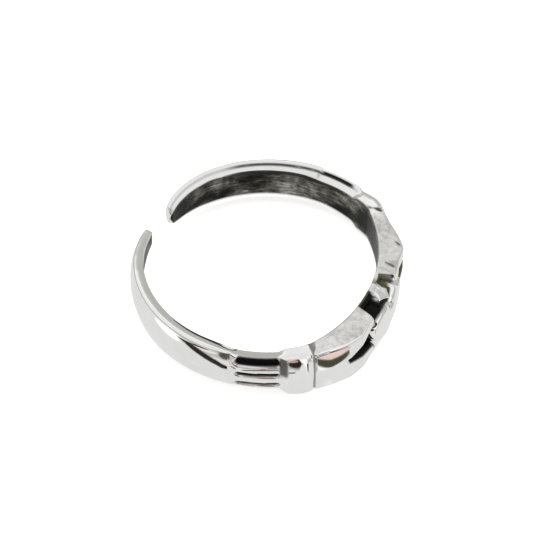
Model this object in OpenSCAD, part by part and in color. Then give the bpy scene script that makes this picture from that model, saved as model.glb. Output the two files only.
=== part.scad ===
// Open toe ring, cast in one piece. Two cuffed hands hold a heart with a small crown on it.
// The ring lies on its side: its axis is Z, the middle of the heart is on +X,
// the crown is towards +Z, and the opening between the two ends is near -X.
// Lengths along the ring are measured on the inside circle, from the middle of the heart.

/* [Band] */
// Inside diameter of the round part
toe_d = 15.6; // [14:0.1:19]
// Width of the plain shank, across its outer edges
band_w = 3; // [2.4:0.1:4]
// Thickness of the plain shank at the middle of its dome
shank_wall = 1.1; // [0.8:0.05:1.5]
// How much thinner the shank's edges are than its middle
dome = 0.28; // [0.1:0.01:0.4]
// How far the flat inside wall stops short of the outer edge, on each side
rim_bevel = 0.4; // [0.1:0.05:0.6]
// Thickness of the shank at its two ends
end_wall = 0.75; // [0.5:0.05:1.2]

/* [Opening] */
// Gap between the two ends
gap = 2; // [1.5:0.1:4]
// How far the middle of the gap lies off the ring's own middle line
gap_shift = 1.25; // [0:0.05:1.5]
// How far the wide end is bent in from the round
end_bend = 0.3; // [0.1:0.05:0.5]

/* [Grooved part and cuff] */
// Length of the grooved part, from the cuff to the shoulder of the shank
grooved_l = 3.45; // [2:0.05:4]
// How much lower the grooved part's upper edge lies than the shank's
shoulder_step = 0.32; // [0:0.02:0.5]
// Width of a groove
groove_w = 0.4; // [0.2:0.02:0.5]
// Depth of a groove
groove_depth = 0.28; // [0.1:0.02:0.4]
// Length of the cuff along the ring
cuff_l = 1.75; // [1:0.05:2.5]
// Thickness of the cuff
cuff_wall = 1.28; // [1:0.02:1.8]
// Depth of the line where the hand comes out of the cuff
line_depth = 0.2; // [0.1:0.02:0.4]

/* [Face] */
// Distance from the middle of the heart to the cuff
face_reach = 6.95; // [6:0.05:8]
// How far the inside of the face is set in from the round
face_flat = 1; // [0.4:0.05:1.4]
// Thickness of the wall behind the hands, the heart and the crown
back_wall = 0.34; // [0.3:0.02:0.7]
// Thickness of a hand at its knuckles
hand_wall = 1.74; // [1.2:0.02:2]
// Thickness of the heart
heart_wall = 1.52; // [1.1:0.02:1.8]
// Width of the heart, along the ring
heart_w = 5.5; // [4:0.1:6]
// Height of the heart's lobes above its widest line
lobe_h = 0.85; // [0.5:0.05:1]
// Depth of the heart's point below its widest line
point_h = 1.6; // [1:0.05:2]
// Width of the crown at its foot
crown_w = 2; // [0.9:0.05:2.4]
// Thickness of the crown at its top edge
crown_wall = 0.65; // [0.4:0.05:1]

/* [Hidden] */
silver = [0.86, 0.86, 0.84];

// The round part and the two ends
R = toe_d / 2;
half_w = band_w / 2;
function turn(length) = length / R * 180 / PI;
function along(angle) = abs(angle) * PI / 180 * R;
near_end = 180 - turn(gap / 2 - gap_shift);
far_end = 180 - turn(gap / 2 + gap_shift);

// Where each part of the band starts, along the ring
cuff_end = face_reach + cuff_l;
shoulder = cuff_end + grooved_l;
line_l = 0.12;
slope_l = cuff_l / 8;
slant_l = grooved_l / 4;

// The inside of the face is a flatter arc, set in from the round part
face_angle = turn(face_reach + cuff_l / 4);
arc_chord = R * sin(face_angle);
arc_rise = R * (1 - cos(face_angle)) - face_flat;
face_r = (arc_chord * arc_chord + arc_rise * arc_rise) / (2 * arc_rise);
face_x = R - face_flat - face_r;

// The wide end is bent in over its last stretch
bend_angle = 28;
bend_start = far_end - bend_angle;
function bend_in(angle) = end_bend * pow(max(0, angle - bend_start) / bend_angle, 2);

function inner_r(angle) = abs(angle) < face_angle
    ? face_x * cos(angle) + sqrt(face_r * face_r - pow(face_x * sin(angle), 2))
    : R - bend_in(angle);

// How the shank narrows and thins from the shoulder to each end
// columns: share of the shank's length, half width, wall where 1 is the thickness at the ends
near_taper = [[0, 1, 0], [0.45, 1, 0.3], [0.66, 0.98, 0.6], [0.77, 0.88, 0.85],
    [0.86, 0.75, 1.15], [0.93, 0.63, 1.35], [0.975, 0.55, 1.5], [1, 0.48, 1.7]];
far_taper = [[0, 1, 0], [0.45, 1, 0.3], [0.66, 0.97, 0.55], [0.82, 0.85, 0.7],
    [0.91, 0.74, 0.85], [0.96, 0.62, 1], [0.985, 0.52, 1.2], [1, 0.4, 1.7]];
function column(table, n) = [for (row = table) [row[0], row[n]]];

// Heights of the band's edges: the cast part reaches lower than the shank
top_in = half_w - rim_bevel;
low = half_w / 6;
cast_in = -top_in - 2.4 * low;
cast_out = -half_w - 1.2 * low;
groove_top = half_w - shoulder_step;

// Edges and wall of the band along the ring, before the ends narrow
// columns: length along the ring, inner top, outer top, inner bottom, outer bottom, wall,
// drop at the outer top edge, drop at the outer bottom edge
edges = [
    [0, top_in, top_in - 0.1, cast_in, cast_out, heart_wall, 0.4, 0.05],
    [heart_w / 2, top_in, top_in - 0.15, cast_in, cast_out, hand_wall - 0.36, 0.1, 0.05],
    [face_reach - 3.2, top_in, top_in - 0.2, cast_in, cast_out, hand_wall - 0.08, 0.1, 0.1],
    [face_reach - 2.2, top_in, top_in - 0.25, cast_in, cast_out, hand_wall, 0.42, 0.1],
    [face_reach - 1, top_in, top_in - 0.2, cast_in, cast_out, hand_wall - 0.26, 0.5, 0.06],
    [face_reach - line_l, top_in, top_in - 0.1, cast_in, cast_out,
        cuff_wall - 0.02, 0.35, 0.05],
    [face_reach, top_in, top_in - 0.12, cast_in, cast_out,
        cuff_wall - line_depth, 0.3, 0.08],
    [face_reach + line_l, top_in + 0.08, top_in, cast_in, cast_out,
        cuff_wall - 0.03, 0.3, 0.12],
    [face_reach + cuff_l / 2, top_in + 0.1, top_in + 0.05, cast_in, cast_out,
        cuff_wall, 0.28, 0.14],
    [cuff_end - slope_l, top_in + 0.06, top_in, cast_in, cast_out,
        cuff_wall - 0.04, 0.28, 0.18],
    [cuff_end + slope_l, top_in - 0.2, groove_top, -top_in - low, -half_w - 0.4 * low,
        shank_wall - 0.04, dome, dome],
    [shoulder - slant_l, top_in - 0.2, groove_top, -top_in, -half_w,
        shank_wall - 0.02, dome, dome],
    [shoulder - slant_l / 2, top_in - 0.2, half_w, -top_in, -half_w, shank_wall, dome, dome],
    [shoulder, top_in - 0.2, half_w, -top_in, -half_w, shank_wall, dome, dome],
    [shoulder + slope_l, top_in, half_w, -top_in, -half_w, shank_wall, dome, dome],
];
function edge(n, u) = lookup(u, column(edges, n));

// The hand on the near side is fuller along its lower edge
// columns: length along the ring, how much less the outer bottom edge drops
near_full = [[0, 0], [heart_w / 2, 0.22], [face_reach - 3.2, 0.24], [face_reach - 1, 0.12],
    [cuff_end, 0]];

// Outlines of the raised parts of the face: each is how far a place lies inside the part,
// in millimetres, where u is the length along the ring and z the height
widest_z = -0.21 * half_w;
lobe_u = 0.235 * heart_w;
lobe_r = heart_w / 2 - lobe_u;
point_curve = 2.1;
function heart_in(u, z) = z > widest_z
    ? (1 - norm([(u - lobe_u) / lobe_r, (z - widest_z) / lobe_h])) * lobe_h
    : (1 - pow(pow(u / (heart_w / 2), point_curve) + pow((widest_z - z) / point_h, point_curve),
        1 / point_curve)) * point_h;

// A finger is a round-ended bar from its root to its tip, each given as [u, z, radius]
function bar_in(u, z, root, tip) = let (
        run = [tip[0] - root[0], tip[1] - root[1]],
        share = max(0, min(1, ((u - root[0]) * run[0] + (z - root[1]) * run[1]) / (run * run)))
    ) root[2] + (tip[2] - root[2]) * share
        - norm([u - root[0] - run[0] * share, z - root[1] - run[1] * share]);

thumb_root = [face_reach - 1.2, 0.2 * half_w, 0.55 * half_w];
thumb_tip = [heart_w / 2 - 0.25, 0.44 * half_w, 0.4 * half_w];
fingers_root = [face_reach - 1.2, -0.8 * half_w, 0.7 * half_w];
fingers_tip = [heart_w / 2 - 0.45, -1.09 * half_w, 0.28 * half_w];
palm_start = face_reach - 2.15;

// The crown stands in the cleft between the lobes, and its front leans back to its top edge
crown_foot = widest_z + 0.8 * lobe_h;
crown_slope = 0.45 * crown_w;
function crown_in(u, z) = min(crown_w / 2 - crown_slope * max(0, z - crown_foot) - u,
    z - widest_z);

// Each raised part has a rounded edge of its own width, and a seam where two parts meet
finger_round = 0.17;
lobe_round = 0.4;
point_round = 0.16;
seam = 0.04;
function rounded(inside, width) = inside <= 0 ? 0
    : inside >= width ? 1
    : sqrt(1 - pow(1 - inside / width, 2));

// Where two raised parts meet, the gap between them is only as deep as this
web_w = 0.16;
web_depth = 0.32;

// Wall thickness of the face at a place
function face_wall(u, z, wall) = let (
        thumb = bar_in(u, z, thumb_root, thumb_tip),
        finger_bar = bar_in(u, z, fingers_root, fingers_tip),
        heart_shape = heart_in(u, z),
        crown_shape = crown_in(u, z),
        heart = min(heart_shape, -thumb - seam),
        hand = max(thumb, min(finger_bar, -heart_shape - seam), u - palm_start),
        crown = min(crown_shape, -heart - seam),
        web = min(max(thumb, finger_bar, crown_shape), heart_shape) + web_w,
        heart_round = lookup(z, [[widest_z - point_h / 2, point_round], [widest_z, lobe_round]]),
        lean = max(0, (z - crown_foot) / (top_in - crown_foot))
    ) back_wall + max(
        (wall - back_wall) * rounded(hand, finger_round),
        (heart_wall - back_wall) * rounded(heart, heart_round),
        (heart_wall - back_wall - (heart_wall - crown_wall) * lean)
            * rounded(crown, finger_round),
        (heart_wall - back_wall - web_depth) * rounded(web, finger_round));

// One section of the ring, as [radius, height] pairs from the bottom to the top
// It starts inside the room for the toe, which cuts it back, but in the bent end it starts
// at the wall itself, and at the tip of the slim end a little outside it
rows = 24;
cut_in = 0.15;
tip_ease = 0.05;
function section(angle) = let (
        u = along(angle),
        end = angle < 0 ? near_end : far_end,
        share = max(0, (u - shoulder) / (along(end) - shoulder)),
        taper = angle < 0 ? near_taper : far_taper,
        slim = lookup(share, column(taper, 1)),
        wall = edge(5, u) - (shank_wall - end_wall) * lookup(share, column(taper, 2)),
        top = edge(2, u) * slim,
        bottom = edge(4, u) * slim,
        inner = inner_r(angle),
        start_r = angle > bend_start ? inner
            : angle == -near_end ? inner + tip_ease
            : inner - cut_in
    ) concat(
        [[start_r, edge(3, u) * slim]],
        [for (row = [0:rows]) let (
                z = bottom + (top - bottom) * row / rows,
                side = 2 * row / rows - 1,
                full = angle < 0 && side < 0 ? lookup(u, near_full) : 0,
                drop = side * side * (edge(side > 0 ? 6 : 7, u) - full) * (0.4 + 0.6 * slim),
                body = u < face_reach - line_l ? face_wall(u, z, wall) : wall
            ) [inner + max(back_wall, body - drop), z]],
        [[start_r, edge(1, u) * slim]]);

// Angles at which the sections stand: close on the face, wide on the plain shank
function fill(marks, step) = [for (i = [0:len(marks) - 2])
    let (span = marks[i + 1] - marks[i], count = ceil(span / step))
    for (k = [0:count - 1]) marks[i] + span * k / count];
face_step = 0.165;
cuff_step = 0.4;
shank_step = 7;
end_shares = [0, 0.01, 0.15, 0.3, 0.44, 0.57, 0.68, 0.78, 0.86, 0.92, 0.965, 1];
face_marks = fill([0, face_reach - line_l], face_step);
cuff_marks = fill([for (row = edges) if (row[0] >= face_reach - line_l) row[0]], cuff_step);
function half_ring(end) = concat(
    [for (u = concat(face_marks, cuff_marks)) turn(u)],
    fill([turn(shoulder + slope_l), end - bend_angle], shank_step),
    [for (share = end_shares) end - bend_angle * (1 - share)]);

function reversed(list) = [for (i = [len(list) - 1:-1:0]) list[i]];
stations = concat([for (a = reversed(half_ring(near_end))) if (a > 0) -a], half_ring(far_end));

// Skin through the sections, closed by a flat cap at each end
module skin(angles) {
    count = rows + 3;
    last = len(angles) - 1;
    places = [for (a = angles) for (p = section(a)) [p[0] * cos(a), p[0] * sin(a), p[1]]];
    sides = [for (i = [0:last - 1]) for (j = [0:count - 1])
        let (k = (j + 1) % count)
        for (face = [
            [i * count + j, i * count + k, (i + 1) * count + k],
            [i * count + j, (i + 1) * count + k, (i + 1) * count + j]]) face];
    first_cap = [for (j = [count - 1:-1:0]) j];
    last_cap = [for (j = [0:count - 1]) last * count + j];
    polyhedron(places, concat(sides, [first_cap, last_cap]), convexity = 6);
}

// Room for the toe: the round part, the flatter face, and not the bent end
module toe_hollow() {
    tall = 3 * band_w;
    reach = 2 * R;
    from = bend_start + bend_angle * end_shares[1] / 2;
    to = far_end + turn(gap / 2);
    difference() {
        intersection() {
            cylinder(r = R, h = tall, center = true, $fn = 180);
            translate([face_x, 0, 0]) cylinder(r = face_r, h = tall, center = true, $fn = 240);
        }
        translate([0, 0, -tall])
            linear_extrude(2 * tall)
                polygon([[0, 0],
                    [reach * cos(from), reach * sin(from)],
                    [reach * cos(to), reach * sin(to)]]);
    }
}

// Three grooves along the band, which start by the cuff and stop short of the shoulder
groove_start = 0.2;
groove_rest = 0.8;
module grooves() {
    middle = -shoulder_step / 2;
    pitch = (band_w - shoulder_step) / 3;
    from = turn(cuff_end + groove_start);
    length = turn(shoulder - groove_rest) - from;
    for (n = [-1, 0, 1])
        rotate([0, 0, from])
            rotate_extrude(angle = length, $fn = 180)
                translate([R + shank_wall - dome * abs(n) / 2 - groove_depth + groove_w / 2,
                        middle + n * pitch])
                    circle(d = groove_w, $fn = 24);
}

module ring() color(silver)
    difference() {
        skin(stations);
        toe_hollow();
        grooves();
        mirror([0, 1, 0]) grooves();
    }

ring();
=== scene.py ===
import math
from functools import partial
from types import SimpleNamespace

import bmesh
import bpy
import numpy as np
from mathutils import Matrix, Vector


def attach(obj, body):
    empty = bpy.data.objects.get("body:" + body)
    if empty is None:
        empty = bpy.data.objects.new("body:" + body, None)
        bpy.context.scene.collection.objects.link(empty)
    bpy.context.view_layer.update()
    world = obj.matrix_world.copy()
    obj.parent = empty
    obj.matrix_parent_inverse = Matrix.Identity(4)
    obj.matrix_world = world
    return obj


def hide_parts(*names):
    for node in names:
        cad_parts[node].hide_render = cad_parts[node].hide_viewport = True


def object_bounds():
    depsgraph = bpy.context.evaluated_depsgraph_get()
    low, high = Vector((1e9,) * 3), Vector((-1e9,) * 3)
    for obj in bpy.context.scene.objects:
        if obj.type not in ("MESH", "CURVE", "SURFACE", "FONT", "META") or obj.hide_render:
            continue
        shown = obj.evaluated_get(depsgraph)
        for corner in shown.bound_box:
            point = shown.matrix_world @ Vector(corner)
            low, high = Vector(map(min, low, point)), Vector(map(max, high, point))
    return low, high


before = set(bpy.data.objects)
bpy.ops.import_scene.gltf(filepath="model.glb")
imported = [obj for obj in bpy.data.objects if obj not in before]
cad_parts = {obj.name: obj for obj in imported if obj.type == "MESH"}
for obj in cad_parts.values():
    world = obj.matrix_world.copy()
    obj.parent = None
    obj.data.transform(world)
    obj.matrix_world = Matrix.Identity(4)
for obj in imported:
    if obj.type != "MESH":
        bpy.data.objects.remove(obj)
CAD_BOX = [list(corner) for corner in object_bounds()]
MM = 0.001

# Sizes of the ring in millimetres, the same as the casting's own.
# Lengths along the ring are measured on the inside circle, from the middle of the heart.
R = 7.8
HALF_W = 1.5
SHANK_WALL = 1.1
DOME = 0.28
RIM_BEVEL = 0.4
END_WALL = 0.75
GAP = 2.0
GAP_SHIFT = 1.25
END_BEND = 0.3
GROOVED_L = 3.45
SHOULDER_STEP = 0.32
GROOVE_W = 0.4
GROOVE_DEPTH = 0.28
CUFF_L = 1.75
CUFF_WALL = 1.28
LINE_DEPTH = 0.2
FACE_REACH = 6.95
FACE_FLAT = 1.0
BACK_WALL = 0.34
HAND_WALL = 1.74
HEART_WALL = 1.52
HEART_W = 5.5
LOBE_H = 0.85
POINT_H = 1.6
CROWN_W = 2.0
CROWN_WALL = 0.65


def turn(length):
    """The angle, in degrees, that a length along the ring takes."""
    return math.degrees(length / R)


NEAR_END = 180 - turn(GAP / 2 - GAP_SHIFT)
FAR_END = 180 - turn(GAP / 2 + GAP_SHIFT)
GAP_MIDDLE = (FAR_END + 360 - NEAR_END) / 2
CUFF_END = FACE_REACH + CUFF_L
SHOULDER = CUFF_END + GROOVED_L
LINE_L = 0.12
FACE_END = FACE_REACH - LINE_L
SLOPE_L = CUFF_L / 8
SLANT_L = GROOVED_L / 4

# The inside of the face is a flatter arc, set in from the round part
FACE_ANGLE = FACE_REACH / R + CUFF_L / 4 / R
ARC_CHORD = R * math.sin(FACE_ANGLE)
ARC_RISE = R * (1 - math.cos(FACE_ANGLE)) - FACE_FLAT
FACE_R = (ARC_CHORD ** 2 + ARC_RISE ** 2) / (2 * ARC_RISE)
FACE_X = R - FACE_FLAT - FACE_R
BEND_ANGLE = 28
BEND_START = FAR_END - BEND_ANGLE

# How the shank narrows and thins from the shoulder to each end.
# Columns: share of the shank's length, half width, wall where 1 is the thickness at the ends
NEAR_TAPER = [
    (0, 1, 0), (0.45, 1, 0.3), (0.66, 0.98, 0.6), (0.77, 0.88, 0.85),
    (0.86, 0.75, 1.15), (0.93, 0.63, 1.35), (0.975, 0.55, 1.5), (1, 0.48, 1.7),
]
FAR_TAPER = [
    (0, 1, 0), (0.45, 1, 0.3), (0.66, 0.97, 0.55), (0.82, 0.85, 0.7),
    (0.91, 0.74, 0.85), (0.96, 0.62, 1), (0.985, 0.52, 1.2), (1, 0.4, 1.7),
]

# Heights of the band's edges
TOP_IN = HALF_W - RIM_BEVEL
LOW = HALF_W / 6
CAST_IN = -TOP_IN - 2.4 * LOW
CAST_OUT = -HALF_W - 1.2 * LOW
GROOVE_TOP = HALF_W - SHOULDER_STEP
FAR_GROOVE_TOP = HALF_W - 0.5 * SHOULDER_STEP

# Edges and wall of the band along the ring, before the ends narrow.
# Columns: length along the ring, inner top, outer top, inner bottom, outer bottom, wall,
# drop at the outer top edge, drop at the outer bottom edge
EDGES = [
    (0, TOP_IN, TOP_IN - 0.1, CAST_IN, CAST_OUT, HEART_WALL, 0.4, 0.05),
    (HEART_W / 2, TOP_IN, TOP_IN - 0.15, CAST_IN, CAST_OUT, HAND_WALL - 0.36, 0.1, 0.05),
    (FACE_REACH - 3.2, TOP_IN, TOP_IN - 0.2, CAST_IN, CAST_OUT, HAND_WALL - 0.08, 0.1, 0.1),
    (FACE_REACH - 2.2, TOP_IN, TOP_IN - 0.25, CAST_IN, CAST_OUT, HAND_WALL, 0.42, 0.1),
    (FACE_REACH - 1, TOP_IN, TOP_IN - 0.2, CAST_IN, CAST_OUT, HAND_WALL - 0.26, 0.5, 0.06),
    (FACE_END, TOP_IN, TOP_IN - 0.1, CAST_IN, CAST_OUT, CUFF_WALL - 0.02, 0.35, 0.05),
    (FACE_REACH, TOP_IN, TOP_IN - 0.12, CAST_IN, CAST_OUT, CUFF_WALL - LINE_DEPTH, 0.3, 0.08),
    (FACE_REACH + LINE_L, TOP_IN + 0.08, TOP_IN, CAST_IN, CAST_OUT, CUFF_WALL - 0.03, 0.3, 0.12),
    (FACE_REACH + CUFF_L / 2, TOP_IN + 0.1, TOP_IN + 0.05, CAST_IN, CAST_OUT, CUFF_WALL, 0.28, 0.14),
    (CUFF_END - SLOPE_L, TOP_IN + 0.06, TOP_IN, CAST_IN, CAST_OUT, CUFF_WALL - 0.04, 0.28, 0.18),
    (CUFF_END + SLOPE_L, TOP_IN - 0.2, GROOVE_TOP, -TOP_IN - LOW, -HALF_W - 0.4 * LOW,
     SHANK_WALL - 0.04, DOME, DOME),
    (SHOULDER - SLANT_L, TOP_IN - 0.2, GROOVE_TOP, -TOP_IN, -HALF_W, SHANK_WALL - 0.02, DOME, DOME),
    (SHOULDER - SLANT_L / 2, TOP_IN - 0.15, HALF_W, -TOP_IN, -HALF_W, SHANK_WALL, DOME, DOME),
    (SHOULDER, TOP_IN - 0.09, HALF_W, -TOP_IN, -HALF_W, SHANK_WALL, DOME, DOME),
    (SHOULDER + 2 * SLOPE_L, TOP_IN - 0.03, HALF_W, -TOP_IN, -HALF_W, SHANK_WALL, DOME, DOME),
    (SHOULDER + 5 * SLOPE_L, TOP_IN, HALF_W, -TOP_IN, -HALF_W, SHANK_WALL, DOME, DOME),
]
INNER_TOP, OUTER_TOP, INNER_BOTTOM, OUTER_BOTTOM, WALL, TOP_DROP, BOTTOM_DROP = range(1, 8)

# The hand on the near side is fuller along its lower edge.
# Columns: length along the ring, how much less the outer bottom edge drops
NEAR_FULL = [
    (0, 0), (HEART_W / 2, 0.22), (FACE_REACH - 3.2, 0.24), (FACE_REACH - 1, 0.12), (CUFF_END, 0),
]

# Outlines of the raised parts of the face. Each end of a thumb or of the fingers
# has a length along the ring, a height and a half width
WIDEST_Z = -0.21 * HALF_W
LOBE_U = 0.235 * HEART_W
LOBE_R = HEART_W / 2 - LOBE_U
POINT_CURVE = 2.1
THUMB_ROOT = (FACE_REACH - 1.2, 0.2 * HALF_W, 0.55 * HALF_W)
NEAR_THUMB_TIP = (HEART_W / 2, 0.44 * HALF_W, 0.4 * HALF_W)
FAR_THUMB_TIP = (HEART_W / 2 - 0.9, 0.48 * HALF_W, 0.4 * HALF_W)
FINGERS_ROOT = (FACE_REACH - 1.2, -0.8 * HALF_W, 0.7 * HALF_W)
FINGERS_TIP = (HEART_W / 2 - 0.15, -1.09 * HALF_W, 0.28 * HALF_W)
PALM_START = FACE_REACH - 2.15
CROWN_FOOT = WIDEST_Z + 0.8 * LOBE_H
CROWN_SLOPE = 0.45 * CROWN_W
FAR_LOBE_H = LOBE_H + 0.12
CROWN_SHIFT = 0.15

# Widths of their rounded edges, the seam between them and the low webs that join them
FINGER_ROUND = 0.17
LOBE_ROUND = 0.4
POINT_ROUND = 0.16
SEAM = 0.08
WEB_W = 0.16
WEB_DEPTH = 0.32

# The grooves' distances from the cuff and the shoulder, how much wider the top one is,
# the cuff's bulge, and the share of the edges' drop that a narrowed end still has
GROOVE_START = 0.2
GROOVE_REST = 0.8
TOP_GROOVE_SPREAD = 1.4
CUFF_BULGE = 0.07
NARROW_DROP = 0.4

# Depths between which the grooves turn black
GROOVE_OXIDE = (0.25 * GROOVE_DEPTH, 0.7 * GROOVE_DEPTH)

# The oxide in the recesses: how far it reaches from each edge, and the share of
# a rounded edge's height over which it is polished away
HAND_OXIDE = 0.1
FINGERS_OXIDE = 0.35
HEART_OXIDE = 0.16
POCKET_OXIDE = 0.1
CROWN_OXIDE = 0.08
POLISHED = (0.78, 1.0)

# The far side of the heart is polished more: the lobe's share of the oxide's reach,
# the heights and the length over which its lower part turns bright
FAR_LOBE_OXIDE = 0.4
BRIGHT_Z = (0.2, 0.4)
BRIGHT_FADE_L = 0.3

# Dark lines, each with its strength, its half width and where it has faded
CROWN_LINE = (0.7, 0.02, 0.07)
CROWN_LINE_INSET = 0.05
THUMB_LINE = (0.6, 0.06, 0.13)
CUFF_LINE = (0.6, 0.2 * LINE_L, 0.6 * LINE_L)
# The slope's line is painted shade on the near cuff's slope
SLOPE_SHADE = (0.85, 0.16, 0.28)
SLOPE_LINE_Z = (-0.35, 0.05)

# The seam between the near cuff and the hand, at the outside and at the inside: its
# half width, where it has faded and how far it lies towards the face
SEAM_DARK = 0.75
SEAM_OUTSIDE = (0.2 * LINE_L, 0.6 * LINE_L, 0)
SEAM_INSIDE = (1.4 * LINE_L, 2.6 * LINE_L, 0.14)

# Creases in the metal of the far hand's upper side and at its cuff, darkened with painted shade.
# Each runs from one end to the other: length along the ring, radius, half width
CREASES = [
    ((2.37, 7.44, 0.06), (2.1, 7.91, 0.1)), ((4.2, 8.27, 0.05), (4.0, 8.42, 0.1)),
    ((7.5, 7.7, 0.12), (7.25, 7.95, 0.05)), ((7.15, 8.1, 0.05), (6.9, 8.4, 0.14)),
]
CREASE_SHADE_DARK = 0.9
CREASE_EDGE = (-1, 0.6)

# Stains on the inner wall, where a negative strength is a lighter place, and their soft edge.
# Columns: angle, height, half width in degrees, half height, strength
STAINS = [
    (157, -0.1, 8, 1.0, 0.9), (136, -0.5, 15, 0.6, 0.7), (115, 0.2, 9, 1.1, 1.0),
    (92, 0, 17, 1.0, -0.3), (67, -0.8, 10, 0.55, 0.9), (44, -0.4, 19, 1.0, 1.5),
    (12, 0, 22, 2.0, 1.5), (-40, 0, 40, 2.0, 0.4),
]
STAIN_EDGE = (0.4, 1.2)


def column(table, place, number):
    """Reads one column of a table at each place, straight between its rows."""
    return np.interp(place, [row[0] for row in table], [row[number] for row in table])


def share_of(value, low, high):
    """How far a value has come on the way from low to high, from 0 to 1."""
    return np.clip((value - low) / (high - low), 0, 1)


def eased(value, low, high):
    """0 below low, 1 above high and a smooth step between."""
    share = share_of(value, low, high)
    return share * share * (3 - 2 * share)


def between(first, last, share):
    """The value at a share of the straight way from the first to the last."""
    return first + (last - first) * share


def bent(first, knee, last, share):
    """The value at a share of the curve from the first to the last, drawn towards the knee."""
    return (1 - share) ** 2 * first + 2 * share * (1 - share) * knee + share ** 2 * last


def line_mark(off, line):
    """How dark a line is at a distance from its middle."""
    strength, half, faded = line
    return strength * (1 - eased(off, half, faded))


def heart_in(u, z, lobe_h):
    """How far a place lies inside the heart."""
    lobes = (1 - np.hypot((u - LOBE_U) / LOBE_R, (z - WIDEST_Z) / lobe_h)) * lobe_h
    across = (u / (HEART_W / 2)) ** POINT_CURVE
    down = (np.maximum(WIDEST_Z - z, 0) / POINT_H) ** POINT_CURVE
    point = (1 - (across + down) ** (1 / POINT_CURVE)) * POINT_H
    return np.where(z > WIDEST_Z, lobes, point)


def bar_in(u, z, root, tip):
    """How far a place lies inside a bar, whose two round ends have a place and a half width."""
    run_u, run_z = tip[0] - root[0], tip[1] - root[1]
    along = ((u - root[0]) * run_u + (z - root[1]) * run_z) / (run_u ** 2 + run_z ** 2)
    along = np.clip(along, 0, 1)
    off = np.hypot(u - root[0] - run_u * along, z - root[1] - run_z * along)
    return between(root[2], tip[2], along) - off


def crown_in(aside, z):
    """How far a place lies inside the crown, where aside is how far it is from its middle."""
    side = CROWN_W / 2 - CROWN_SLOPE * np.maximum(z - CROWN_FOOT, 0) - aside
    return np.minimum(side, z - WIDEST_Z)


def rounded(inside, width):
    """Height of a rounded edge, from 0 outside the outline to 1 past the edge's width."""
    return np.sqrt(1 - (1 - share_of(inside, 0, width)) ** 2)


def face_shapes(band, z):
    """How far each place lies inside the parts of the face, whole and as far as they show."""
    near_thumb = bar_in(band.u, z, THUMB_ROOT, NEAR_THUMB_TIP)
    thumb = np.where(band.far > 0, bar_in(band.u, z, THUMB_ROOT, FAR_THUMB_TIP), near_thumb)
    whole_heart = heart_in(band.u, z, between(LOBE_H, FAR_LOBE_H, band.far))
    whole_crown = crown_in(band.off_crown, z)
    heart = np.minimum(whole_heart, -thumb - SEAM)
    return SimpleNamespace(
        thumb=thumb, fingers=bar_in(band.u, z, FINGERS_ROOT, FINGERS_TIP), palm=band.u - PALM_START,
        whole_heart=whole_heart, heart=heart,
        whole_crown=whole_crown, crown=np.minimum(whole_crown, -heart - SEAM),
    )


def face_wall(band, z, shapes):
    """Wall thickness of the face, where the crown leans back to its top edge."""
    fingers = np.minimum(shapes.fingers, -shapes.whole_heart - SEAM)
    hand = np.maximum.reduce([shapes.thumb, fingers, shapes.palm])
    raised = np.maximum.reduce([shapes.thumb, shapes.fingers, shapes.whole_crown])
    web = np.minimum(raised, shapes.whole_heart) + WEB_W
    heart_edge = np.interp(z, [WIDEST_Z - POINT_H / 2, WIDEST_Z], [POINT_ROUND, LOBE_ROUND])
    lean = np.maximum(0, (z - CROWN_FOOT) / (TOP_IN - CROWN_FOOT))
    crown_full = between(HEART_WALL, CROWN_WALL, lean) - BACK_WALL
    return BACK_WALL + np.maximum.reduce([
        (band.wall - BACK_WALL) * rounded(hand, FINGER_ROUND),
        (HEART_WALL - BACK_WALL) * rounded(shapes.heart, heart_edge),
        crown_full * rounded(shapes.crown, FINGER_ROUND),
        (HEART_WALL - BACK_WALL - WEB_DEPTH) * rounded(web, FINGER_ROUND),
    ])


def face_oxide(band, z, shapes):
    """How black each place of the face is, from 0 to 1: recesses, pockets and fine lines."""
    lobe_side = LOBE_ROUND * between(1, FAR_LOBE_OXIDE, band.far)
    heart_side = between(POCKET_OXIDE, lobe_side, share_of(z, 0, LOBE_ROUND))
    beside_heart = rounded(-shapes.whole_heart - SEAM, HEART_OXIDE)
    clean = np.maximum.reduce([
        rounded(np.maximum(shapes.thumb, shapes.palm), HAND_OXIDE),
        np.minimum(rounded(shapes.fingers, FINGERS_OXIDE), beside_heart),
        rounded(shapes.heart, heart_side),
        rounded(shapes.crown, CROWN_OXIDE),
    ])
    on_heart = 1 - eased(band.u, HEART_W / 2 - BRIGHT_FADE_L, HEART_W / 2)
    bright = band.far * (1 - eased(z, *BRIGHT_Z)) * on_heart
    crown_line = line_mark(np.abs(shapes.whole_heart), CROWN_LINE)
    thumb_line = line_mark(np.abs(shapes.thumb + SEAM), THUMB_LINE)
    return np.maximum.reduce([
        (1 - eased(clean, *POLISHED)) * (1 - bright),
        np.where(shapes.whole_crown > CROWN_LINE_INSET, crown_line, 0),
        np.where(shapes.whole_heart > 0, thumb_line, 0),
    ])


def groove_cut(u, z):
    """Depth of the three grooves and how dark each place in them is."""
    start, stop = CUFF_END + GROOVE_START, SHOULDER - GROOVE_REST
    pitch = (2 * HALF_W - SHOULDER_STEP) / 3
    radius = GROOVE_W / 2
    past = np.maximum(np.maximum(start + radius - u, u - stop + radius), 0)
    depth = np.zeros_like(u)
    for number in (-1, 0, 1):
        off = np.hypot(past, z - (number * pitch - SHOULDER_STEP / 2))
        off = off / (TOP_GROOVE_SPREAD if number == 1 else 1)
        depth = np.maximum(depth, GROOVE_DEPTH * np.sqrt(1 - share_of(off, 0, radius) ** 3))
    return depth, eased(depth, *GROOVE_OXIDE)


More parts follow.
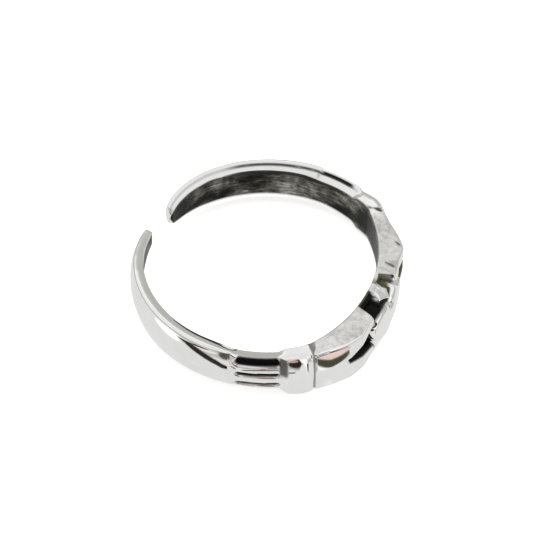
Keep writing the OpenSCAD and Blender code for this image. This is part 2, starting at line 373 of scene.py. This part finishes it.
# The ring is spun as a round tube. Each of its sections has a run of points for
# the outside, the top rim, the inside and the bottom rim. The outside's last points
# and the top rim's first ones make a round corner
OUTSIDE_ROWS = 72
RIM_ROWS = 12
CORNER_OUTSIDE_ROWS = 12
CORNER_RIM_ROWS = 6
INSIDE_ROWS = 20
CORNER_START = OUTSIDE_ROWS - CORNER_OUTSIDE_ROWS
CORNER_STOP = OUTSIDE_ROWS + CORNER_RIM_ROWS
INSIDE_START = OUTSIDE_ROWS + RIM_ROWS
INSIDE_STOP = INSIDE_START + INSIDE_ROWS
SECTION_ROWS = INSIDE_STOP + RIM_ROWS
TUBE_R = 1.0

# Rows where the marks of the finish, the painted shade and the painted light start, stop or fade
RIM_MARKS_START = CORNER_START + 6
SATIN_START = CORNER_START + 8
SLOPE_LINE_STOP = CORNER_START + 9
SEAM_WIDENS = (OUTSIDE_ROWS - 4, INSIDE_START)
FAR_RIM_FADE = (OUTSIDE_ROWS + 1, OUTSIDE_ROWS + 5)
OXIDE_LIGHT_FADE = (CORNER_STOP, CORNER_STOP + 3)
INNER_SATIN_START = INSIDE_START - 2
RECESS_STOP = INSIDE_START + 2
FAR_TARNISH_START = INSIDE_START + 1
NEAR_TARNISH_START = INSIDE_START + 5
TARNISH_STOP = INSIDE_STOP - 1

# Painted shade: dark lines along the far rim, whose widths are counted in rows: the crease, the line at
# the inner edge, and the edge above the grooves, which has a reach along the ring too
CREASE_ROW = OUTSIDE_ROWS + 2
RIM_CREASE_SHADE = (1, 0.4, 2.2)
INNER_EDGE_SHADE = (0.9, 1, 2.5)
CREASE_START_L = 1
CREASE_FADE = (120, 132)
CREASE_LEFT = 0.3
GROOVE_EDGE_SHADE = (1, 1, 4)
GROOVE_EDGE_REACH = (1, 0.9, 1.3)

# How the two ends close: length of the round, size of the last section and
# the share of the wall that it shrinks to
NEAR_ROUND_L = 0.3
FAR_ROUND_L = 0.16
END_SHRINK = 0.45
NEAR_END_SHARE = 0.3
FAR_END_SHARE = 0.5

# The round corner is narrow and full on the face, and wide on the cuff and the shank.
# Columns: length along the ring, its length on the outside, its share of the rim, how full it is
CORNER = [
    (0, 0.2, 0.5, 0.8), (FACE_REACH, 0.22, 0.5, 0.8), (FACE_REACH + 0.2, 0.5, 0.6, 0.1),
    (CUFF_END - SLOPE_L, 0.5, 0.6, 0.1), (CUFF_END + SLOPE_L, 0.22, 0.7, 0.1),
    (SHOULDER - SLANT_L, 0.22, 0.7, 0.1), (SHOULDER + 1, 0.35, 0.92, 0.3),
]

# Stretches of the ring, from the far end to the near end.
# Columns: angle where the stretch stops, length of one step along the ring
STRETCHES = [
    (FAR_END - 1.6, 0.03), (BEND_START, 0.12), (turn(SHOULDER + SLOPE_L), 0.2),
    (turn(CUFF_END + 2 * SLOPE_L), 0.07), (turn(FACE_REACH + 2 * LINE_L), 0.07),
    (-turn(FACE_REACH + 2 * LINE_L), 0.045), (-turn(CUFF_END + 2 * SLOPE_L), 0.07),
    (-turn(SHOULDER + SLOPE_L), 0.07), (-NEAR_END + 30, 0.2), (-NEAR_END + 1.2, 0.1), (-NEAR_END, 0.03),
]


def spun_tube():
    """A round tube spun about the ring's axis from one end of the band to the other."""
    tube = bmesh.new()
    start = Matrix.Rotation(math.radians(FAR_END), 4, "Z") @ Matrix.Translation((R, 0, 0))
    start = start @ Matrix.Rotation(math.radians(90), 4, "X")
    ring = bmesh.ops.create_circle(tube, segments=SECTION_ROWS, radius=TUBE_R, matrix=start)
    edges = list(dict.fromkeys(edge for vert in ring["verts"] for edge in vert.link_edges))
    caps = [edges]
    here = FAR_END
    for stop, step in STRETCHES:
        steps = math.ceil(math.radians(here - stop) * R / step)
        spun = bmesh.ops.spin(
            tube, geom=edges, cent=(0, 0, 0), axis=(0, 0, 1),
            angle=math.radians(stop - here), steps=steps, use_duplicate=False,
        )
        edges = [item for item in spun["geom_last"] if isinstance(item, bmesh.types.BMEdge)]
        here = stop
    caps.append(edges)
    for cap in caps:
        bmesh.ops.holes_fill(tube, edges=cap, sides=0)
    return tube


def band_at(angle):
    """The band's sizes at each angle, in degrees, which is above 0 on the far side.

    u is the length along the ring, and far goes from 0 on the near side to 1 past the crown."""
    turned = np.radians(angle)
    u = np.abs(turned) * R
    near = angle < 0
    end = np.where(near, np.radians(NEAR_END) * R, np.radians(FAR_END) * R)
    share = np.maximum(0, (u - SHOULDER) / (end - SHOULDER))
    slim = np.where(near, column(NEAR_TAPER, share, 1), column(FAR_TAPER, share, 1))
    thin = np.where(near, column(NEAR_TAPER, share, 2), column(FAR_TAPER, share, 2))
    off_middle = (u - FACE_REACH - CUFF_L / 2) / (CUFF_L / 2)
    wall = column(EDGES, u, WALL) - (SHANK_WALL - END_WALL) * thin
    wall = wall + CUFF_BULGE * np.maximum(0, 1 - off_middle ** 2)
    top = column(EDGES, u, OUTER_TOP)
    top = np.where((angle > 0) & (u > CUFF_END + SLOPE_L), np.maximum(top, FAR_GROOVE_TOP), top)
    bend = END_BEND * (np.maximum(0, angle - BEND_START) / BEND_ANGLE) ** 2
    flat = FACE_X * np.cos(turned) + np.sqrt(FACE_R ** 2 - (FACE_X * np.sin(turned)) ** 2)
    return SimpleNamespace(
        angle=angle, u=u, near=near, end=end, slim=slim, wall=wall,
        far=eased(angle, 0, turn(CROWN_W / 2)),
        off_crown=np.abs(turned * R + CROWN_SHIFT),
        top=top * slim, bottom=column(EDGES, u, OUTER_BOTTOM) * slim,
        top_in=column(EDGES, u, INNER_TOP) * slim, bottom_in=column(EDGES, u, INNER_BOTTOM) * slim,
        inner=np.where(np.abs(turned) < FACE_ANGLE, flat, R - bend),
    )


def outside_at(band, z):
    """Radius of the outside at a height, and how deep in a recess it lies."""
    side = (z - band.bottom) / (band.top - band.bottom) * 2 - 1
    full = np.where(band.near & (side < 0), column(NEAR_FULL, band.u, 1), 0)
    top_drop = column(EDGES, band.u, TOP_DROP)
    bottom_drop = column(EDGES, band.u, BOTTOM_DROP) - full
    drop = side * side * np.where(side > 0, top_drop, bottom_drop) * between(NARROW_DROP, 1, band.slim)
    shapes = face_shapes(band, z)
    on_face = band.u < FACE_END
    body = np.where(on_face, face_wall(band, z, shapes), band.wall)
    oxide = np.where(on_face, face_oxide(band, z, shapes), 0)
    line = line_mark(np.abs(band.u - FACE_REACH), CUFF_LINE)
    groove, groove_dark = groove_cut(band.u, z)
    dark = np.maximum.reduce([oxide, line, groove_dark])
    return band.inner + np.maximum(BACK_WALL, body - drop) - groove, dark


def skin_place(band, row):
    """Radius, height and recess of each point, where row counts from the outside's bottom."""
    corner, corner_share, knee_out = (column(CORNER, band.u, number) for number in (1, 2, 3))
    on_bottom_rim = row > INSIDE_STOP
    share = np.where(on_bottom_rim, 0, share_of(row, 0, CORNER_START))
    z = between(band.bottom, band.top - corner * band.slim, share)
    outer_r, outer_dark = outside_at(band, z)

    # The round corner bends from the outside, by the edge, to a point on the rim
    edge_r, edge_dark = outside_at(band, band.top)
    bend = share_of(row, CORNER_START, CORNER_STOP)
    rim_r = between(edge_r, band.inner, corner_share)
    rim_z = between(band.top, band.top_in, corner_share)
    knee_r = edge_r + knee_out * (edge_r - (outer_r + rim_r) / 2)
    knee_z = band.top + knee_out * (band.top - (z + rim_z) / 2)
    r = bent(outer_r, knee_r, rim_r, bend)
    height = np.minimum(bent(z, knee_z, rim_z, bend), HALF_W)
    dark = between(outer_dark, edge_dark, bend)

    # The rest of the top rim runs in, the inside goes down, the bottom rim runs out
    on_top_rim = row > CORNER_STOP
    share = share_of(row, CORNER_STOP, INSIDE_START)
    r = np.where(on_top_rim, between(rim_r, band.inner, share), r)
    height = np.where(on_top_rim, between(rim_z, band.top_in, share), height)
    on_inside = (row > INSIDE_START) & ~on_bottom_rim
    share = share_of(row, INSIDE_START, INSIDE_STOP)
    r = np.where(on_inside, band.inner, r)
    height = np.where(on_inside, between(band.top_in, band.bottom_in, share), height)
    share = share_of(row, INSIDE_STOP, SECTION_ROWS)
    r = np.where(on_bottom_rim, between(band.inner, outer_r, share), r)
    height = np.where(on_bottom_rim, between(band.bottom_in, z, share), height)

    # The two ends close in a short round
    left = (band.end - band.u) / np.where(band.near, NEAR_ROUND_L, FAR_ROUND_L)
    shrink = between(END_SHRINK, 1, rounded(left, 1))
    middle_r = band.inner + band.wall * np.where(band.near, NEAR_END_SHARE, FAR_END_SHARE)
    middle_z = (band.top + band.bottom) / 2
    return between(middle_r, r, shrink), between(middle_z, height, shrink), dark


def tarnish_start(band):
    """The row where the inner wall's tarnish starts, which is lower on the near side."""
    return np.where(band.near, NEAR_TARNISH_START, FAR_TARNISH_START)


def tarnish_mark(band, row):
    """True on the tarnished part of the inner wall."""
    return (row >= tarnish_start(band)) & (row < TARNISH_STOP)


def oxide_and_shade_mark(band, row, r, height, dark):
    """How black each point is: the relief's oxide, the near cuff's seams, and painted shade on the
    cuff's slope, along the far edge above the grooves and in the far side's creases.
    """
    u = band.u
    # Painted shade: a dark line along the far side's outer top edge above the grooves
    groove_edge_shade = line_mark(np.abs(row - OUTSIDE_ROWS), GROOVE_EDGE_SHADE) * (band.angle > 0)
    groove_edge_shade = groove_edge_shade * line_mark(np.abs(u - (CUFF_END + SHOULDER) / 2), GROOVE_EDGE_REACH)
    dark = np.maximum(dark, groove_edge_shade)
    dark = dark * (1 - band.far * eased(row, *FAR_RIM_FADE))
    dark = np.where(tarnish_mark(band, row) & (row >= RECESS_STOP), 0, dark)

    # The seam between the near cuff and the hand widens over the rim, and the cuff's slope has a
    # painted shade
    widened = eased(row, *SEAM_WIDENS)
    half, faded, shift = (between(*ends, widened) for ends in zip(SEAM_OUTSIDE, SEAM_INSIDE))
    seam = line_mark(np.abs(u - FACE_REACH + shift), (SEAM_DARK, half, faded))
    on_rim = (row > RIM_MARKS_START) & (row < INSIDE_START)
    dark = np.maximum(dark, np.where(on_rim & band.near, seam, 0))
    slope_shade = line_mark(np.abs(u - CUFF_END), SLOPE_SHADE) * eased(height, *SLOPE_LINE_Z)
    dark = np.maximum(dark, np.where(band.near & (row < SLOPE_LINE_STOP), slope_shade, 0))

    # Painted shade in the far hand's creases
    inside_crease = np.max([bar_in(u, r, *ends) / ends[0][2] for ends in CREASES], axis=0)
    crease_shade = CREASE_SHADE_DARK * eased(inside_crease, *CREASE_EDGE)
    return np.maximum(dark, np.where(on_rim & ~band.near, crease_shade, 0))


def crease_shade_mark(band, row):
    """How dark the painted shade is in the crease along the far rim and in the line at its inner edge.
    """
    crease_shade = line_mark(np.abs(row - CREASE_ROW), RIM_CREASE_SHADE)
    crease_shade = np.maximum(crease_shade, line_mark(np.abs(row - tarnish_start(band)), INNER_EDGE_SHADE))
    crease_shade = crease_shade * eased(band.u, CUFF_END, CUFF_END + CREASE_START_L) * (band.angle > 0)
    return crease_shade * between(1, CREASE_LEFT, eased(band.angle, *CREASE_FADE))


def satin_mark(band, row):
    """True on the face's upper side and on the inner edge of the near shank."""
    face_top = (row > SATIN_START) & (row < INSIDE_START) & (band.u < FACE_END)
    on_inner_edge = (row > INNER_SATIN_START) & (row < tarnish_start(band))
    return face_top | (on_inner_edge & band.near & (band.u > CUFF_END))


def oxide_light_mark(band, row):
    """How far the black oxide is painted over with a lighter olive as painted light: on the far side of
    the face, and on its upper side near the inside.
    """
    return np.maximum(band.far, eased(row, *OXIDE_LIGHT_FADE)) * (band.u < FACE_END)


def stain_mark(band, height):
    """How stained the inner wall is."""
    stain = np.zeros_like(band.u)
    for at_angle, at_height, wide, tall, strength in STAINS:
        off = np.hypot((band.angle - at_angle) / wide, (height - at_height) / tall)
        stain = stain + line_mark(off, (strength, *STAIN_EDGE))
    return stain


# The lower edge and the inside's two edges are softened all along, and the edges
# of the relief are softened on the face, where the mark of oxide and painted shade is neither 0 nor 1
LOWER_EDGE_ROWS = 3
INNER_EDGE_ROWS = 2
RELIEF_EDGE = (0.02, 0.98)
SOFTENED_FACE = FACE_REACH - 0.5
SMOOTH_ROUNDS = 2


def soften(tube, chosen):
    """Smooths the chosen points."""
    verts = [vert for vert, is_chosen in zip(tube.verts, chosen) if is_chosen]
    for _ in range(SMOOTH_ROUNDS):
        bmesh.ops.smooth_vert(
            tube, verts=verts, factor=0.5, use_axis_x=True, use_axis_y=True, use_axis_z=True)


def press_into_shape(tube):
    """Moves the round tube's points to the ring's real section and returns the marks of the finish, of
    the painted shade and of the painted light.
    """
    tube.verts.ensure_lookup_table()
    places = np.array([vert.co for vert in tube.verts])
    angle = np.degrees(np.arctan2(places[:, 1], places[:, 0]))
    angle = np.where(angle > GAP_MIDDLE, angle - 360, angle)
    around = np.degrees(np.arctan2(places[:, 2], np.hypot(places[:, 0], places[:, 1]) - R))
    row = np.round(((around + 90) % 360) / 360 * SECTION_ROWS) % SECTION_ROWS
    band = band_at(angle)
    r, height, dark = skin_place(band, row)
    # The recess mark holds the oxide and painted shade, the crease mark painted shade, and the olive
    # mark painted light on the oxide
    marks = {
        "oxide_and_shade": oxide_and_shade_mark(band, row, r, height, dark),
        "inside": tarnish_mark(band, row),
        "satin": satin_mark(band, row),
        "crease_shade": crease_shade_mark(band, row),
        "stain": stain_mark(band, height),
        "oxide_light": oxide_light_mark(band, row),
        "turn": angle / 180,
        "row": row / SECTION_ROWS,
    }
    turned = np.radians(angle)
    moved = np.stack([r * np.cos(turned), r * np.sin(turned), height], axis=1)
    for vert, place in zip(tube.verts, moved):
        vert.co = place

    at_edge = (row < LOWER_EDGE_ROWS) | (row > SECTION_ROWS - LOWER_EDGE_ROWS)
    for edge_row in (INSIDE_START, INSIDE_STOP):
        at_edge = at_edge | (np.abs(row - edge_row) < INNER_EDGE_ROWS)
    at_relief = (marks["oxide_and_shade"] > RELIEF_EDGE[0]) & (marks["oxide_and_shade"] < RELIEF_EDGE[1])
    soften(tube, at_edge)
    soften(tube, at_relief & (np.abs(angle) < turn(SOFTENED_FACE)))
    return marks


def make_ring():
    """The cast ring in one piece, with its recesses, inner wall, painted shade and painted light marked
    for the finish.
    """
    tube = spun_tube()
    marks = press_into_shape(tube)
    bmesh.ops.scale(tube, vec=(MM, MM, MM), verts=tube.verts)
    bmesh.ops.recalc_face_normals(tube, faces=tube.faces)
    for face in tube.faces:
        face.smooth = True
    mesh = bpy.data.meshes.new("cast_ring")
    tube.to_mesh(mesh)
    tube.free()
    for name, values in marks.items():
        attribute = mesh.attributes.new(name, "FLOAT", "POINT")
        attribute.data.foreach_set("value", values.astype(np.float32))
    ring = bpy.data.objects.new("cast_ring", mesh)
    bpy.context.scene.collection.objects.link(ring)
    return ring


def add(tree, kind, **settings):
    """Adds a node, sets its own settings and the values of its named or numbered inputs."""
    node = tree.nodes.new(kind)
    for name, value in settings.items():
        if name == "inputs":
            for socket, content in value.items():
                node.inputs[socket].default_value = content
        else:
            setattr(node, name, value)
    return node


def ramp(tree, value, stops):
    """The colour at a value, between stops that each have a place and a colour."""
    node = add(tree, "ShaderNodeValToRGB")
    tree.links.new(value, node.inputs["Fac"])
    elements = node.color_ramp.elements
    while len(elements) < len(stops):
        elements.new(0.5)
    for element, (place, color) in zip(elements, stops):
        element.position = place
        element.color = (*color, 1)
    return node.outputs["Color"]


def calculated(tree, operation, *values):
    """The result of a sum on numbers and other nodes' results."""
    node = add(tree, "ShaderNodeMath", operation=operation)
    for number, value in enumerate(values):
        if isinstance(value, (int, float)):
            node.inputs[number].default_value = value
        else:
            tree.links.new(value, node.inputs[number])
    return node.outputs[0]


def ranged(tree, value, start, stop, step="LINEAR"):
    """A value turned into another one: start and stop each hold a value and what it becomes."""
    node = add(tree, "ShaderNodeMapRange", interpolation_type=step, inputs={
        "From Min": start[0], "From Max": stop[0], "To Min": start[1], "To Max": stop[1]})
    tree.links.new(value, node.inputs["Value"])
    return node.outputs["Result"]


def mixed(tree, amount, first, second):
    """The second colour laid over the first, each a colour or another node's result."""
    node = add(tree, "ShaderNodeMix", data_type="RGBA")
    for number, value in ((0, amount), (6, first), (7, second)):
        if isinstance(value, tuple):
            node.inputs[number].default_value = (*value, 1)
        else:
            tree.links.new(value, node.inputs[number])
    return node.outputs[2]


def grey(value):
    """A colour without a tint."""
    return (value, value, value)


# Grain of the finish: how fine, how detailed and how rough it is. The streaks are
# long along the band and packed closer across it
STREAKS = (26.0, 8.0, 0.72)
BLOTCHES = (520.0, 6.0, 0.66)
SPECKLE = (3400.0, 3.0, 0.6)
STREAKS_ACROSS = 2.5

# Share of the finer of two grains in the tarnish and in the satin, how far a stain and
# the whole of the tarnish are darkened, and the streaks' values that break the creases
TARNISH_BLOTCHES = 0.55
SATIN_SPECKLE = 0.4
STAIN_DEPTH = 0.11
TARNISH_DEPTH = 0.012
CREASE_BREAK = (0.3, 0.42)

# Colours of the metal, from low to high grain, with the painted shade of the creases and the oxide's
# painted light
SILVER_COLORS = [(0.35, (0.87, 0.87, 0.85)), (0.65, (0.93, 0.93, 0.92))]
SATIN_COLORS = [(0.38, (0.58, 0.58, 0.56)), (0.5, (0.8, 0.8, 0.78)), (0.62, grey(0.95))]
TARNISH_COLORS = [
    (0.39, (0.004, 0.004, 0.003)), (0.46, (0.045, 0.045, 0.034)), (0.53, (0.17, 0.17, 0.145)),
    (0.62, grey(0.55)),
]
# Painted shade in the far rim's crease and along its inner edge
CREASE_SHADE_COLOR = grey(0.02)
BLACK_OXIDE = grey(0.004)
# A lighter olive painted over the black oxide as painted light
OXIDE_LIGHT_COLOR = (0.11, 0.11, 0.065)

# How much the metal shines at a glancing angle, how metallic its oxide is, how rough
# each finish is, and how strong and how deep the fine pits are
EDGE_SHINE = 0.12
OXIDE_METALLIC = 0.3
POLISH_ROUGHNESS = 0.07
OXIDE_ROUGHNESS = 0.42
SATIN_ROUGHNESS = 0.12
PITS_STRENGTH = 0.25
PITS_DEPTH = 0.02 * MM


def silver_finish():
    """Polished silver, oxidised black in the recesses and darkly tarnished on the inner wall, with
    painted shade in creases and on edges, and painted light on the oxide.
    """
    material = bpy.data.materials.new("oxidised_silver")
    material.use_nodes = True
    tree = material.node_tree
    link = tree.links.new
    sum_of = partial(calculated, tree)
    shader = tree.nodes["Principled BSDF"]
    shader.inputs["Specular IOR Level"].default_value = EDGE_SHINE

    def mark(name):
        return add(tree, "ShaderNodeAttribute", attribute_name=name).outputs["Fac"]

    def grain(vector, kind):
        scale, detail, roughness = kind
        node = add(tree, "ShaderNodeTexNoise", inputs={
            "Scale": scale, "Detail": detail, "Roughness": roughness})
        link(vector, node.inputs["Vector"])
        return node.outputs["Fac"]

    def blended(first, second, share):
        return sum_of("ADD", sum_of("MULTIPLY", first, 1 - share), sum_of("MULTIPLY", second, share))

    along = add(tree, "ShaderNodeCombineXYZ")
    link(mark("turn"), along.inputs["X"])
    link(sum_of("MULTIPLY", mark("row"), STREAKS_ACROSS), along.inputs["Y"])
    streaks = grain(along.outputs["Vector"], STREAKS)
    place = add(tree, "ShaderNodeTexCoord").outputs["Object"]
    blotches = grain(place, BLOTCHES)
    speckle = grain(place, SPECKLE)

    silver = ramp(tree, blotches, SILVER_COLORS)
    satin = ramp(tree, blended(blotches, speckle, SATIN_SPECKLE), SATIN_COLORS)
    stained = sum_of("MULTIPLY_ADD", mark("stain"), STAIN_DEPTH, TARNISH_DEPTH)
    tarnish = sum_of("SUBTRACT", blended(streaks, blotches, TARNISH_BLOTCHES), stained)
    unbroken = ranged(tree, streaks, (CREASE_BREAK[0], 0), (CREASE_BREAK[1], 1))
    color = mixed(tree, mark("satin"), silver, satin)
    color = mixed(tree, mark("inside"), color, ramp(tree, tarnish, TARNISH_COLORS))
    # Painted shade along the far rim's crease and inner edge, broken by the streaks
    color = mixed(tree, sum_of("MULTIPLY", mark("crease_shade"), unbroken), color, CREASE_SHADE_COLOR)
    # The recess mark lays black oxide and painted shade; the olive over the oxide is painted light
    color = mixed(tree, mark("oxide_and_shade"), color, mixed(tree, mark("oxide_light"), BLACK_OXIDE, OXIDE_LIGHT_COLOR))
    link(color, shader.inputs["Base Color"])

    # The oxide's dullness also covers the painted shade in the recess mark
    oxide = sum_of("MAXIMUM", mark("oxide_and_shade"), mark("inside"))
    link(ranged(tree, oxide, (0, 1), (1, OXIDE_METALLIC)), shader.inputs["Metallic"])
    dull = sum_of("MAXIMUM", oxide, mark("satin"))
    rough = ranged(tree, dull, (0, POLISH_ROUGHNESS), (1, OXIDE_ROUGHNESS))
    satin_rough = sum_of("MULTIPLY", mark("satin"), SATIN_ROUGHNESS)
    link(sum_of("ADD", rough, satin_rough), shader.inputs["Roughness"])

    pits = add(tree, "ShaderNodeBump", inputs={"Strength": PITS_STRENGTH, "Distance": PITS_DEPTH})
    link(sum_of("MULTIPLY", speckle, dull), pits.inputs["Height"])
    link(pits.outputs["Normal"], shader.inputs["Normal"])
    return material


# The camera stands where the photograph was taken from, in the ring's own frame
CAMERA_RISE = 46.33
CAMERA_ROLL = 0.87
CAMERA_TURN = 19.0
CAMERA_DISTANCE = 195.0
FOCAL_PX = 3094.55
CENTRE_PX = (267.23, 269.66)
IMAGE_PX = 550


def set_camera():
    """The camera of the photograph, with its turn, roll and off-centre frame."""
    rise = math.radians(CAMERA_RISE)
    back = np.array([0, -math.cos(rise), math.sin(rise)])
    right = np.array([1.0, 0, 0])
    axes = np.array([right, np.cross(back, right), back]).T
    matrix = Matrix(axes.tolist()).to_4x4()
    matrix = matrix @ Matrix.Rotation(math.radians(CAMERA_ROLL), 4, "Z")
    matrix = Matrix.Rotation(math.radians(CAMERA_TURN), 4, "Z") @ matrix
    matrix.translation = matrix.col[2].to_3d() * CAMERA_DISTANCE * MM
    data = bpy.data.cameras.new("camera")
    data.sensor_width = 36.0
    data.lens = FOCAL_PX / IMAGE_PX * data.sensor_width
    data.shift_x = (IMAGE_PX / 2 - CENTRE_PX[0]) / IMAGE_PX
    data.shift_y = (CENTRE_PX[1] - IMAGE_PX / 2) / IMAGE_PX
    data.clip_start = 0.01
    camera = bpy.data.objects.new("camera", data)
    camera.matrix_world = matrix
    bpy.context.scene.collection.objects.link(camera)
    bpy.context.scene.camera = camera


# What the polished metal mirrors, seen from the ring: the camera's side is at turn 0.
# Columns: name, turn to the right, rise, half width, half height, edge softness, colour
MIRRORED = [
    ("wall", -35, -16, 60, 10, 0.5, (0.55, 0.55, 0.51)),
    ("window", -80, -26, 12, 5, 0.5, (1.5, 1.5, 1.5)),
    ("chair", -29, -12, 8, 13, 0.4, (0.09, 0.09, 0.07)),
    ("bag", -16, -4, 10, 20, 0.3, (0.12, 0.12, 0.095)),
    ("lower blush", -11, -25.5, 11, 4, 0.4, (0.78, 0.62, 0.58)),
    ("window edge", -46, -17, 10, 5, 0.5, (0.98, 0.88, 0.86)),
    ("blush", -4, 52, 24, 22, 0.5, (0.74, 0.58, 0.55)),
    ("sleeve", 15, 22, 19, 46, 0.3, (0.03, 0.02, 0.02)),
    ("arm", 4, 46, 9, 13, 0.5, (0.5, 0.37, 0.35)),
    ("light gap", 45, 10, 10, 50, 0.3, (1.1, 1.1, 1.1)),
    ("warm glow", 143, 57, 14, 7, 0.6, (0.95, 0.84, 0.81)),
    ("hand", 49, -16, 8, 21, 0.3, (0.07, 0.07, 0.045)),
    ("skin", 50, 6, 8, 14, 0.5, (0.85, 0.66, 0.63)),
]

# The dark edge of the table, as the metal mirrors it, its colour, its softness and
# the least half height that shows.
# Columns: turn to the right, rise of its middle, half of its height
TABLE_EDGE = [
    (-72, -22, 0.2), (-64, -22, 2.4), (-58, -24.5, 5), (-51, -28.5, 6), (-44, -33, 6.5),
    (-36, -39, 6), (-30, -41, 4), (-27, -39, 0.05), (-18, -35, 0.05), (-15, -34, 1.3), (-2, -30.6, 1.4),
    (10, -31, 1.3), (12, -31, 0.05),
]
EDGE_COLOR = (0.025, 0.022, 0.018)
EDGE_SOFTNESS = 0.4
LEAST_EDGE = 0.25

# Light of the tent, at heights from 0 straight below to 1 straight above
TENT = [
    (0.0, grey(0.78)), (0.33, grey(0.8)), (0.46, grey(0.82)), (0.5, (0.48, 0.48, 0.45)),
    (0.6, (0.52, 0.52, 0.49)), (0.66, grey(0.6)), (0.7, grey(0.95)), (0.73, grey(1.0)),
    (0.77, grey(0.9)), (0.85, grey(0.86)), (0.94, grey(0.84)), (1.0, grey(0.95)),
]


def sight_angles(tree):
    """How far to the right of the camera and how high each place is from the ring, in degrees."""
    direction = add(tree, "ShaderNodeTexCoord").outputs["Generated"]
    turned = add(tree, "ShaderNodeMapping", inputs={"Rotation": (0, 0, math.radians(-CAMERA_TURN))})
    tree.links.new(direction, turned.inputs["Vector"])
    split = add(tree, "ShaderNodeSeparateXYZ")
    tree.links.new(turned.outputs["Vector"], split.inputs["Vector"])
    towards = calculated(tree, "MULTIPLY", split.outputs["Y"], -1.0)
    side = calculated(tree, "ARCTAN2", split.outputs["X"], towards)
    rise = calculated(tree, "ARCSINE", split.outputs["Z"])
    return [calculated(tree, "MULTIPLY", angle, 180 / math.pi) for angle in (side, rise)]


def soft_mask(tree, name, far, softness):
    """1 where far is below 1, and 0 above it, with a soft edge between."""
    mask = ranged(tree, far, (1 - softness / 2, 1), (1 + softness / 2, 0), "SMOOTHSTEP")
    mask.node.label = name
    return mask


def with_mirrored(tree, light, side, rise):
    """The light with the soft-edged things in it that the metal mirrors."""
    sum_of = partial(calculated, tree)
    for name, at_side, at_rise, wide, tall, softness, color in MIRRORED:
        off = sum_of("MULTIPLY", sum_of("SUBTRACT", side, at_side), 1 / wide)
        up = sum_of("MULTIPLY", sum_of("SUBTRACT", rise, at_rise), 1 / tall)
        far = sum_of("SQRT", sum_of("ADD", sum_of("POWER", off, 2.0), sum_of("POWER", up, 2.0)))
        light = mixed(tree, soft_mask(tree, name, far, softness), light, color)
    return light


def with_table_edge(tree, light, side, rise):
    """The light with the table's dark edge across it, where the edge has any height."""
    sum_of = partial(calculated, tree)
    first, last = TABLE_EDGE[0][0], TABLE_EDGE[-1][0]
    share = sum_of("MULTIPLY", sum_of("SUBTRACT", side, first), 1 / (last - first))

    def along_edge(number):
        """One column of the edge at each turn, from a ramp that holds shares of a right angle."""
        stops = [(share_of(row[0], first, last), grey(abs(row[number]) / 90)) for row in TABLE_EDGE]
        return sum_of("MULTIPLY", ramp(tree, share, stops), 90)

    half = along_edge(2)
    off = sum_of("ABSOLUTE", sum_of("ADD", rise, along_edge(1)))
    mask = soft_mask(tree, "table edge", sum_of("DIVIDE", off, half), EDGE_SOFTNESS)
    mask = sum_of("MULTIPLY", mask, sum_of("GREATER_THAN", half, LEAST_EDGE))
    return mixed(tree, mask, light, EDGE_COLOR)


def set_world():
    """A white tent, with the dark things on the camera's side that the metal mirrors."""
    world = bpy.data.worlds.new("tent")
    bpy.context.scene.world = world
    world.use_nodes = True
    tree = world.node_tree
    tree.nodes.clear()
    side, rise = sight_angles(tree)
    height = calculated(tree, "ADD", calculated(tree, "MULTIPLY", rise, 1 / 180), 0.5)
    light = with_mirrored(tree, ramp(tree, height, TENT), side, rise)
    light = with_table_edge(tree, light, side, rise)
    background = add(tree, "ShaderNodeBackground", inputs={"Strength": 1.0})
    tree.links.new(light, background.inputs["Color"])
    tree.links.new(background.outputs[0], add(tree, "ShaderNodeOutputWorld").inputs["Surface"])


def set_floor():
    """A pale floor that the ring lies on."""
    plane = bmesh.new()
    bmesh.ops.create_grid(plane, x_segments=1, y_segments=1, size=0.6)
    bmesh.ops.translate(plane, verts=plane.verts, vec=(0, 0, CAD_BOX[0][2]))
    mesh = bpy.data.meshes.new("floor")
    plane.to_mesh(mesh)
    plane.free()
    floor = bpy.data.objects.new("floor", mesh)
    bpy.context.scene.collection.objects.link(floor)
    material = bpy.data.materials.new("white_card")
    material.use_nodes = True
    shader = material.node_tree.nodes["Principled BSDF"]
    shader.inputs["Base Color"].default_value = (0.95, 0.95, 0.95, 1)
    shader.inputs["Roughness"].default_value = 0.9
    shader.inputs["Emission Color"].default_value = (1, 1, 1, 1)
    shader.inputs["Emission Strength"].default_value = 0.5
    mesh.materials.append(material)
    floor.visible_glossy = False


def set_lights():
    """One wide soft lamp above and behind."""
    data = bpy.data.lights.new("soft_top", "AREA")
    data.shape = "DISK"
    data.size = 0.3
    data.energy = 0.35
    lamp = bpy.data.objects.new("soft_top", data)
    lamp.location = (-0.05, 0.08, 0.3)
    lamp.rotation_euler = (math.radians(-15), math.radians(-9), 0)
    lamp.visible_glossy = False
    bpy.context.scene.collection.objects.link(lamp)


ring = make_ring()
ring.data.materials.append(silver_finish())
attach(ring, "root")
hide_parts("ring")

set_camera()
set_world()
set_floor()
set_lights()
bpy.context.scene.view_settings.view_transform = "Standard"
